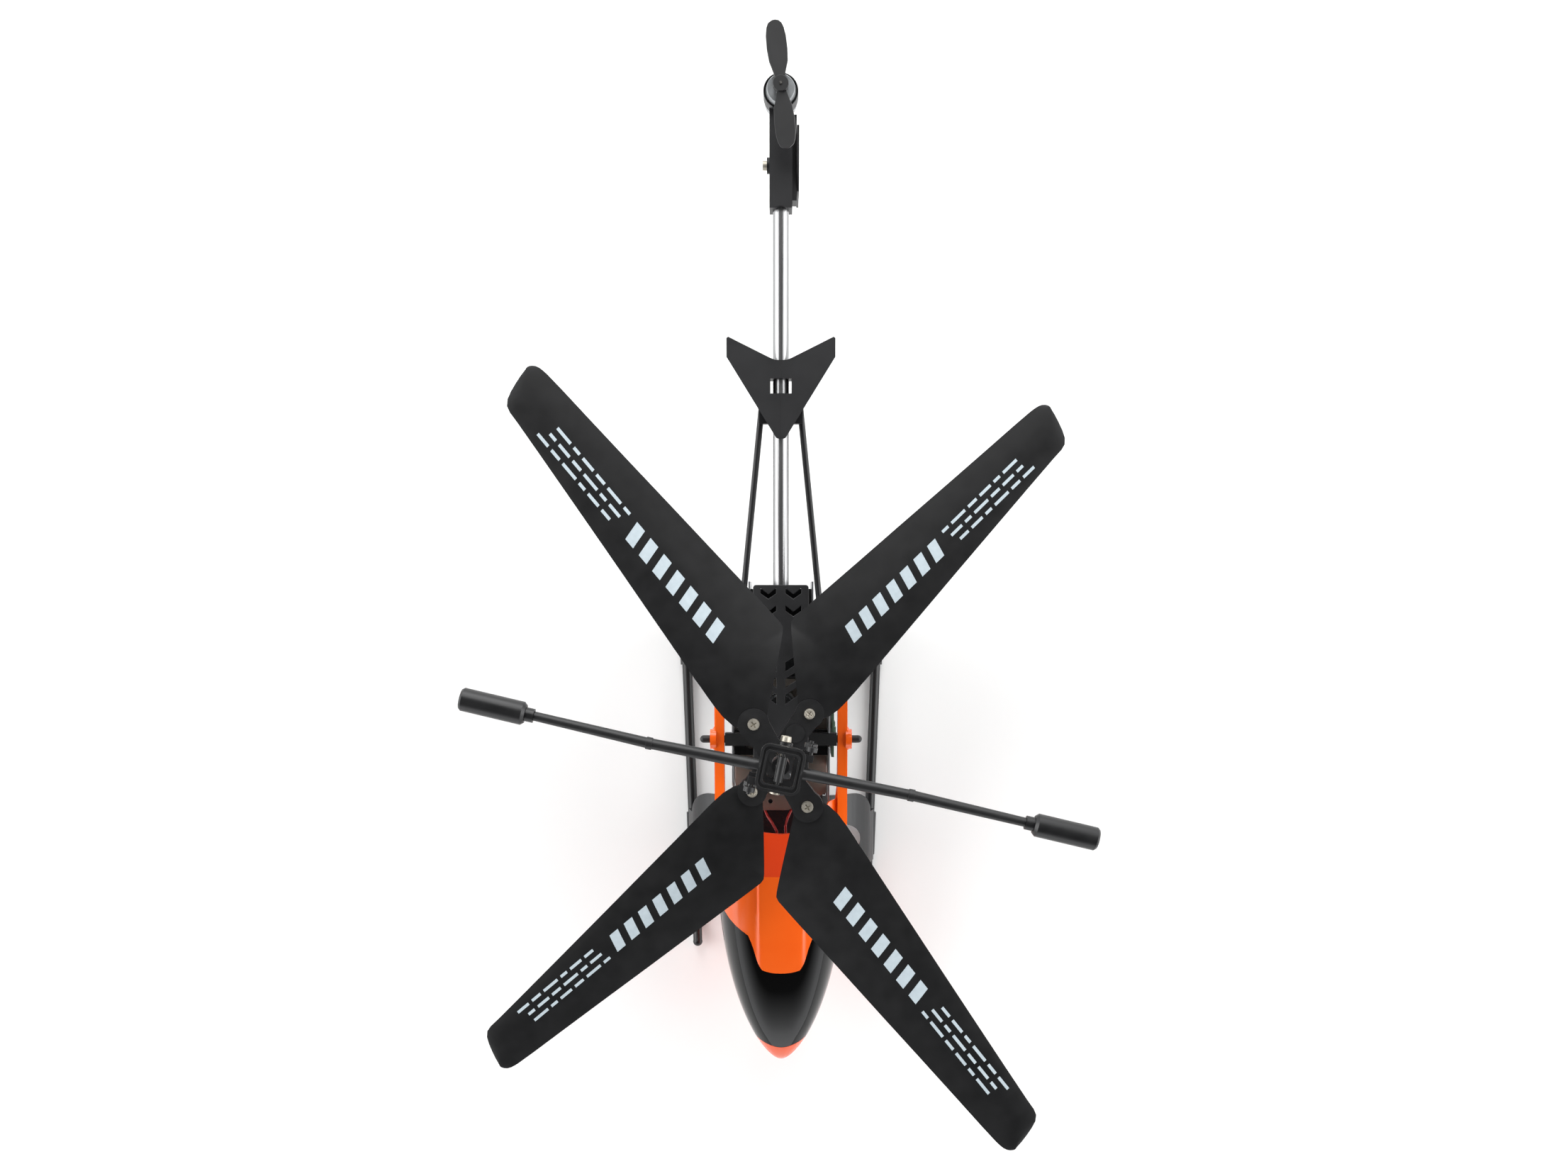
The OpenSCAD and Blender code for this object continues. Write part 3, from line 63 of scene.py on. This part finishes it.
EYE_HEIGHT = 0.890
EYE_FROM_MAST = Vector((0.00165, 0.0795, 0))
EYE_TIP = math.radians(-5)
LENS = 33.53
FRAME_SHIFT = 0.08742
EXPOSURE = 0.35
HORIZON_GLOW, HORIZON_HEIGHT = 1.5, 0.2
CEILING_GLOW, CEILING_HEIGHT = 0.05, 0.62
LAMP_SIZE = 2.0
LAMPS = (((0.0, 1.9, 1.4), 34), ((-1.9, 0.1, 1.3), 30), ((1.9, 0.0, 1.3), 30))
LAMP_AIM = Vector((0, 0, 0.1))


def linear(code):
    values = [int(code[i:i + 2], 16) / 255 for i in (1, 3, 5)]
    return [v / 12.92 if v <= 0.04045 else ((v + 0.055) / 1.055) ** 2.4 for v in values] + [1]


def add(tree, kind, links=None, **settings):
    made = tree.nodes.new(kind)
    for key, value in settings.items():
        if hasattr(made, key) and key not in made.inputs:
            setattr(made, key, value)
        else:
            made.inputs[key].default_value = value
    for key, source in (links or {}).items():
        tree.links.new(source, made.inputs[key])
    return made


def blank(name):
    material = bpy.data.materials.new(name)
    material.use_nodes = True
    material.node_tree.nodes.clear()
    return material, material.node_tree


# Plastics and metals share this build-up: a slow change of tone over the part and a fine grain in the gloss.
def finish(name, dark, light, rough, metal=0.0, patch=18, grain=0.5, depth=0.02, stretch=(1, 1, 1), coat=0.0,
           turn=0.0, spread=0.07, shine=0.5):
    material, tree = blank(name)
    place = add(tree, "ShaderNodeTexCoord")
    mapped = add(tree, "ShaderNodeMapping", {"Vector": place.outputs["Object"]})
    mapped.inputs["Rotation"].default_value = (0, 0, turn)
    mapped.inputs["Scale"].default_value = stretch
    tone = add(tree, "ShaderNodeTexNoise", {"Vector": mapped.outputs["Vector"]}, Scale=1 / (patch * MM), Detail=4.0)
    fine = add(tree, "ShaderNodeTexNoise", {"Vector": mapped.outputs["Vector"]}, Scale=1 / (grain * MM), Detail=2.0)
    colour = add(tree, "ShaderNodeMix", {0: tone.outputs["Fac"]}, data_type="RGBA")
    colour.inputs[6].default_value = linear(dark)
    colour.inputs[7].default_value = linear(light)
    gloss = add(tree, "ShaderNodeMapRange", {"Value": tone.outputs["Fac"]})
    gloss.inputs["To Min"].default_value = max(0.02, rough - spread)
    gloss.inputs["To Max"].default_value = rough + spread
    bump = add(tree, "ShaderNodeBump", {"Height": fine.outputs["Fac"]}, Strength=0.35, Distance=depth * MM)
    skin = add(tree, "ShaderNodeBsdfPrincipled", {
        "Base Color": colour.outputs[2], "Roughness": gloss.outputs["Result"], "Normal": bump.outputs["Normal"]})
    skin.inputs["Metallic"].default_value = metal
    skin.inputs["Specular IOR Level"].default_value = shine
    skin.inputs["Coat Weight"].default_value = coat
    skin.inputs["Coat Roughness"].default_value = 0.04
    out = add(tree, "ShaderNodeOutputMaterial", {"Surface": skin.outputs["BSDF"]})
    out.target = "ALL"
    return material


def only(piece):
    bpy.ops.object.select_all(action="DESELECT")
    piece.select_set(True)
    bpy.context.view_layer.objects.active = piece


def settle(piece, name, material):
    piece.name = piece.data.name = name
    piece.data.materials.clear()
    piece.data.materials.append(material)
    only(piece)
    bpy.ops.object.transform_apply(location=True, rotation=True, scale=True)
    return piece


bpy.ops.object.select_all(action="DESELECT")
bpy.ops.mesh.primitive_plane_add(size=6, location=(0, 0, -0.0002))
board_paint = finish("matt_white_board", "#F6F6F5", "#FBFBFA", 0.85, patch=300, grain=2, depth=0.01)
floor = settle(bpy.context.object, "studio_floor", board_paint)

world = bpy.data.worlds.new("studio")
bpy.context.scene.world = world
world.use_nodes = True
sky = world.node_tree
sky.nodes.clear()
direction = add(sky, "ShaderNodeTexCoord")
height = add(sky, "ShaderNodeSeparateXYZ", {"Vector": direction.outputs["Generated"]})
shade = add(sky, "ShaderNodeMapRange", {"Value": height.outputs["Z"]})
shade.inputs["From Min"].default_value = HORIZON_HEIGHT
shade.inputs["From Max"].default_value = CEILING_HEIGHT
shade.inputs["To Min"].default_value = HORIZON_GLOW
shade.inputs["To Max"].default_value = CEILING_GLOW
glow = add(sky, "ShaderNodeBackground", {"Strength": shade.outputs["Result"]})
glow.inputs["Color"].default_value = linear("#FCFDFF")
add(sky, "ShaderNodeOutputWorld", {"Surface": glow.outputs["Background"]})

for place, power in LAMPS:
    bpy.ops.object.light_add(type="AREA", location=place)
    lamp = bpy.context.object
    lamp.data.size = LAMP_SIZE
    lamp.data.energy = power
    lamp.rotation_euler = (LAMP_AIM - Vector(place)).to_track_quat("-Z", "Y").to_euler()

bpy.ops.object.camera_add(location=mast + EYE_FROM_MAST + Vector((0, 0, EYE_HEIGHT)), rotation=(EYE_TIP, 0, 0))
camera = bpy.context.object
camera.data.lens = LENS
camera.data.sensor_width = 36
camera.data.shift_y = FRAME_SHIFT
camera.data.clip_start = 0.01
bpy.context.scene.camera = camera
bpy.context.scene.view_settings.view_transform = "Standard"
bpy.context.scene.view_settings.exposure = EXPOSURE


def dress(node, material):
    piece = frame["nodes"][node]
    piece.data.materials.clear()
    piece.data.materials.append(material)


def copy_of(node, name, material, smooth=35):
    source = frame["nodes"][node]
    piece = bpy.data.objects.new(name, source.data.copy())
    bpy.context.scene.collection.objects.link(piece)
    settle(piece, name, material)
    bpy.ops.object.mode_set(mode="EDIT")
    bpy.ops.mesh.select_all(action="SELECT")
    bpy.ops.mesh.remove_doubles(threshold=0.000002)
    bpy.ops.mesh.customdata_custom_splitnormals_clear()
    bpy.ops.object.mode_set(mode="OBJECT")
    bpy.ops.object.shade_smooth_by_angle(angle=math.radians(smooth))
    return piece


def stands_for(piece, node, body=None):
    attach(piece, body or frame["nodes"][node]["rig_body"])
    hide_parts(node)
    return piece


def eased(node, name, material, width=0.25, smooth=35):
    piece = copy_of(node, name, material, smooth)
    bpy.ops.object.mode_set(mode="EDIT")
    bpy.ops.mesh.select_all(action="SELECT")
    bpy.ops.mesh.dissolve_limited(angle_limit=math.radians(0.5))
    bpy.ops.object.mode_set(mode="OBJECT")
    round_over = piece.modifiers.new("round_over", "BEVEL")
    round_over.width = width * MM
    round_over.segments = 2
    round_over.limit_method = "ANGLE"
    round_over.angle_limit = math.radians(40)
    bpy.ops.object.modifier_apply(modifier="round_over")
    bpy.ops.object.shade_smooth_by_angle(angle=math.radians(smooth))
    return stands_for(piece, node)


# Skids and legs: glass-filled nylon, moulded black. The skids are drawn rods with turned-up ends; the legs are
# thin arches with a slot hole in each flank and a sleeve over the rod.
rod_black = finish("black_nylon_rod", "#111112", "#1A1A1B", 0.38, patch=25, grain=0.4, depth=0.015)
leg_black = finish("black_nylon_moulding", "#131415", "#1B1C1E", 0.40, patch=30, grain=0.6, depth=0.02)
for side in ("left", "right"):
    eased("skid_" + side, "skid_rod_" + side, rod_black, 0.3)
for end in ("front", "rear"):
    eased(end + "_leg", end + "_leg_arch", leg_black, 0.35)

# Belly: the black tray with its battery, cover, slide switch and charging socket.
film_black = finish("black_shrink_film", "#0F1012", "#1A1B1E", 0.26, patch=12, grain=1.5, depth=0.05)
switch_white = finish("white_acetal", "#D8D8D2", "#E8E8E2", 0.4, patch=6)
socket_black = finish("black_phenolic", "#141415", "#1D1D1E", 0.35, patch=6)
nickel = finish("nickel_plate", "#ACA699", "#D6D0C2", 0.42, metal=0.8, patch=2.5, grain=0.3, depth=0.01, spread=0.09)
eased("belly_tray", "belly_tray_moulding", leg_black, 0.3)
eased("battery", "battery_pack", film_black, 0.8)
eased("battery_cover", "battery_door", leg_black, 0.25)
eased("body_screws", "belly_screws", nickel, 0.25)
eased("switch_knob", "switch_slider", switch_white, 0.2)
dress("charge_socket", socket_black)

# Chassis: two blanked aluminium side plates and a deck, brushed lengthwise, between black moulded blocks.
sheet_alu = finish("brushed_aluminium_sheet", "#A9ACAE", "#D0D2D4", 0.36, metal=1.0, patch=3, grain=0.3,
                   depth=0.01, stretch=(1, 0.05, 1))
block_black = finish("black_nylon_block", "#0F0F10", "#181819", 0.5, patch=14, grain=0.5, depth=0.02)
acetal = finish("natural_acetal", "#DAD5C6", "#E9E5D8", 0.42, patch=8, grain=0.6, depth=0.01)
brass = finish("turned_brass", "#94742F", "#C0A052", 0.28, metal=1.0, patch=2, grain=0.3, stretch=(1, 1, 6))
ground_steel = finish("ground_steel", "#8E8C88", "#B6B4AF", 0.22, metal=1.0, patch=2, grain=0.25, stretch=(1, 1, 8))
can_steel = finish("zinc_plated_steel", "#8F9294", "#B9BCBE", 0.33, metal=1.0, patch=4, grain=0.4, depth=0.01)
for side in ("left", "right"):
    eased("side_plate_" + side, "side_plate_blank_" + side, sheet_alu, 0.12)
deck_alu = finish("rolled_aluminium_deck", "#8C837A", "#BDB4AA", 0.34, metal=0.85, patch=9, grain=0.4, depth=0.01,
                  stretch=(0.1, 1, 1))
eased("motor_plate", "motor_deck", deck_alu, 0.12)
eased("gearbox_base", "gearbox_floor", block_black, 0.3)
eased("bearing_block", "bearing_bridge", block_black, 0.3)
eased("canopy_crossbar", "canopy_bar", block_black, 0.35)
eased("boom_clamp", "boom_clamp_block", block_black, 0.3)
dress("shaft_bearings", ground_steel)
eased("frame_screws", "side_plate_screws", nickel, 0.25)
for node in ("upper_gear", "lower_gear"):
    dress(node, acetal)
for node in ("pinion_front", "pinion_rear"):
    dress(node, brass)
for node in ("main_motor_front", "main_motor_rear"):
    eased(node, node + "_can", can_steel, 0.3)
for node in ("outer_shaft", "inner_shaft"):
    dress(node, ground_steel)

# Top cover: thin black ABS box with vee slots and slanted slots, fine-textured by its mould.
cover_abs = finish("black_textured_abs", "#121213", "#1B1B1D", 0.5, patch=10, grain=0.35, depth=0.03)
eased("top_cover", "chassis_cover", cover_abs, 0.3)

# Canopy: glossy mouldings. The orange half with the nose and the hood are dyed ABS; the windscreen is black,
# polished. Each is the design's surface, turned into quads and smoothed, with its cut edges kept crisp.
orange_abs = finish("orange_gloss_abs", "#EE4F10", "#F95F18", 0.24, patch=30, grain=0.9, depth=0.006, coat=0.35,
                    spread=0.04)
screen_gloss = finish("black_polished_abs", "#050505", "#090909", 0.07, patch=40, grain=6, depth=0.01,
                      spread=0.03, shine=0.36)


def smoothed(node, name, material, levels, keep=38):
    piece = copy_of(node, name, material, 180)
    bpy.ops.object.mode_set(mode="EDIT")
    bpy.ops.mesh.select_all(action="SELECT")
    bpy.ops.mesh.tris_convert_to_quads(face_threshold=math.radians(30), shape_threshold=math.radians(60))
    bpy.ops.mesh.select_all(action="DESELECT")
    bpy.ops.object.mode_set(mode="OBJECT")
    only(piece)
    bpy.ops.object.mode_set(mode="EDIT")
    bpy.ops.mesh.select_mode(type="EDGE")
    bpy.ops.mesh.edges_select_sharp(sharpness=math.radians(keep))
    bpy.ops.transform.edge_crease(value=0.92)
    bpy.ops.mesh.select_mode(type="VERT")
    bpy.ops.object.mode_set(mode="OBJECT")
    swell = piece.modifiers.new("smooth", "SUBSURF")
    swell.levels = swell.render_levels = levels
    bpy.ops.object.modifier_apply(modifier="smooth")
    bpy.ops.object.shade_smooth_by_angle(angle=math.radians(40))
    return stands_for(piece, node)


smoothed("canopy_shell", "canopy_lower_half", orange_abs, 1)
smoothed("windscreen", "canopy_windscreen", screen_gloss, 2)
# The hood's rear half is moulded a step lower. Behind the step its base colour is a darker, redder orange: painted
# shade for the mast's shadow that falls there.
HOOD_STEP = mast.y - 71 * MM
HOOD_END = mast.y - 46 * MM
hood_abs = finish("orange_hood_abs", "#F4590F", "#FC6A1C", 0.24, patch=30, grain=0.9, depth=0.006, coat=0.35,
                  spread=0.04)
hood_tree = hood_abs.node_tree
hood_place = add(hood_tree, "ShaderNodeTexCoord")
along = add(hood_tree, "ShaderNodeSeparateXYZ", {"Vector": hood_place.outputs["Object"]})
# Painted shade: this mask marks the hood behind the step, where the mast's shadow falls.
mast_shade_mask = add(hood_tree, "ShaderNodeMath", {0: along.outputs["Y"]}, operation="COMPARE")
mast_shade_mask.inputs[1].default_value = (HOOD_STEP + HOOD_END) / 2
mast_shade_mask.inputs[2].default_value = (HOOD_END - HOOD_STEP) / 2
hood_skin = next(n for n in hood_tree.nodes if n.type == "BSDF_PRINCIPLED")
front_orange = hood_skin.inputs["Base Color"].links[0].from_socket
# Painted shade: the hood behind the step gets the darker, redder orange #E5441A in its base colour.
painted_shade_mix = add(hood_tree, "ShaderNodeMix", {0: mast_shade_mask.outputs["Value"], 6: front_orange}, data_type="RGBA")
painted_shade_mix.inputs[7].default_value = linear("#E5441A")
hood_tree.links.new(painted_shade_mix.outputs[2], hood_skin.inputs["Base Color"])
smoothed("canopy_hood", "canopy_hood_moulding", hood_abs, 1)

# Rotor blades: black polyamide, moulded thin and twisted, with a pale print on top: slanted blocks near the
# root and fine broken lines beyond. The print is a film of ink laid on the blade.
blade_black = finish("black_polyamide_blade", "#0D0D0E", "#171718", 0.46, patch=9, grain=0.5, depth=0.012,
                     spread=0.1, shine=0.32)
ink = finish("pale_blue_ink", "#A9B6BD", "#BFCBD1", 0.6, patch=2.5, grain=0.4)
BLADES = (("lower_blade_right", 51.1, 1), ("lower_blade_left", 226.7, 1), ("upper_blade_rear", 123.2, -1),
          ("upper_blade_front", 302.0, -1))
FOLDS = {j["child"]: Vector(j["pos_m"]) for j in frame["joints"] if "pos_m" in j}
BLOCKS = 7
BLOCK_FROM = 47
BLOCK_PITCH = 9.6
BLOCK_SIZE = (5.6, 9.4)
LINES_FROM = 114
LINES_TO = 166
LINE_PITCH = 4.4
LINE_W = 1.5
LINE_STEP = 1.5
DASHES = (7.5, 4.2, 9.4, 5.8)
DASH_GAP = 2.2
BLOCK_SLANT, BLOCK_CUTS = 0.28, 12
LINE_SLANT, LINE_CUTS = 0.1, 6
PRINT_DROP = 12
PRINT_LIFT = 0.1
PRINT_FILM = 0.05
PRINT_SLOPE = -0.118
PRINT_START = 9.2


def print_patch(x, y, width, tall, slant, cuts):
    bpy.ops.mesh.primitive_grid_add(x_subdivisions=cuts, y_subdivisions=max(2, cuts // 2), size=1)
    patch = bpy.context.object
    patch.data.transform(Matrix.Diagonal((width * MM, tall * MM, 1, 1)))
    for v in patch.data.vertices:
        v.co.x += slant * v.co.y
    patch.data.transform(Matrix.Translation((x * MM, y * MM, 0)) @ Matrix.Rotation(math.atan(PRINT_SLOPE), 4, "Z"))
    return patch


def print_centre(x):
    return PRINT_START + PRINT_SLOPE * (x - BLOCK_FROM)


for node, aim, hand in BLADES:
    blade = copy_of(node, node + "_moulding", blade_black, 32)
    pivot = FOLDS[node]
    place = Matrix.Translation(pivot + Vector((0, 0, PRINT_DROP * MM))) @ Matrix.Rotation(math.radians(aim), 4, "Z") \
        @ Matrix.Diagonal((1, hand, 1, 1))
    patches = []
    for k in range(BLOCKS):
        x = BLOCK_FROM + BLOCK_PITCH * k
        patches.append(print_patch(x, print_centre(x), *BLOCK_SIZE, BLOCK_SLANT, BLOCK_CUTS))
    for row in (-1, 0, 1):
        x = LINES_FROM + LINE_STEP * (1 - row)
        k = 0
        while x < LINES_TO:
            dash = DASHES[(k + row) % len(DASHES)]
            middle = x + dash / 2
            across = print_centre(middle) + row * LINE_PITCH
            patches.append(print_patch(middle, across, dash, LINE_W, LINE_SLANT, LINE_CUTS))
            x += dash + DASH_GAP
            k += 1
    bpy.ops.object.select_all(action="DESELECT")
    for patch in patches:
        patch.select_set(True)
    bpy.context.view_layer.objects.active = patches[0]
    bpy.ops.object.join()
    print_film = bpy.context.object
    print_film.data.transform(place)
    settle(print_film, node + "_print", ink)
    if hand < 0:
        bpy.ops.object.mode_set(mode="EDIT")
        bpy.ops.mesh.select_all(action="SELECT")
        bpy.ops.mesh.flip_normals()
        bpy.ops.object.mode_set(mode="OBJECT")
    lay = print_film.modifiers.new("lay", "SHRINKWRAP")
    lay.wrap_method = "PROJECT"
    lay.use_project_z = True
    lay.use_negative_direction = True
    lay.use_positive_direction = False
    lay.target = blade
    lay.offset = PRINT_LIFT * MM
    bpy.ops.object.modifier_apply(modifier="lay")
    film = print_film.modifiers.new("film", "SOLIDIFY")
    film.thickness = PRINT_FILM * MM
    bpy.ops.object.modifier_apply(modifier="film")
    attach(print_film, node)
    stands_for(blade, node)

# Rotor heads: black nylon grips with eased ears, nickel pan-head screws and the cross bolt.
head_black = finish("black_nylon_head", "#101011", "#1B1B1C", 0.42, patch=5, grain=0.4, depth=0.02)
eased("lower_grip", "lower_blade_grip", head_black, 0.3)
eased("upper_grip", "upper_blade_grip", head_black, 0.3)
eased("upper_hub", "upper_hub_post", head_black, 0.2)
for node in ("lower_blade_screws", "upper_blade_screws", "hub_bolt"):
    eased(node, node + "_heads", nickel, 0.22)

# Flybar: black nylon rod and frame in one moulding, with a black weight pressed on each end and two links.
weight_black = finish("black_painted_weight", "#0D0D0E", "#161617", 0.36, patch=7, grain=0.6, depth=0.02)
eased("flybar", "flybar_rod", head_black, 0.3)
eased("flybar_weights", "flybar_end_weights", weight_black, 0.25)
for side in ("left", "right"):
    eased("link_" + side, "flybar_link_" + side, head_black, 0.3)

# Tail: drawn aluminium tube, black struts and stabiliser, and the motor in its clamp with a level propeller.
tube_alu = finish("drawn_aluminium_tube", "#77787A", "#C6C6C6", 0.28, metal=1.0, patch=1.6, grain=0.3, depth=0.01,
                  stretch=(1, 0.012, 1), spread=0.1)
tail_black = finish("black_nylon_tail", "#0F0F11", "#19191B", 0.44, patch=16, grain=0.5, depth=0.02)
prop_black = finish("black_nylon_propeller", "#121213", "#1C1C1D", 0.40, patch=10, grain=0.4, depth=0.01)
dress("boom_tube", tube_alu)
wire_skin = finish("red_pvc_wire", "#8E1714", "#B3201C", 0.4, patch=5)
dress("tail_wires", wire_skin)
for node in ("stabiliser", "strut_clamp", "strut_left", "strut_right", "tail_motor_holder", "tail_fin"):
    eased(node, node + "_moulding", tail_black, 0.25)
eased("tail_propeller", "tail_propeller_moulding", prop_black, 0.3)
dress("tail_holder_screw", nickel)
eased("tail_motor", "tail_motor_can", can_steel, 0.2)
dress("tail_motor_shaft", ground_steel)

# Electronics: the receiver board on the right side plate, and the battery's red silicone leads.
board_green = finish("green_solder_mask", "#3C5F4E", "#54786A", 0.35, patch=4, grain=0.8, depth=0.03)
lead_red = finish("red_silicone_lead", "#8E1512", "#B8231D", 0.45, patch=5, grain=0.5)
eased("circuit_board", "receiver_board", board_green, 0.1)
dress("battery_leads", lead_red)
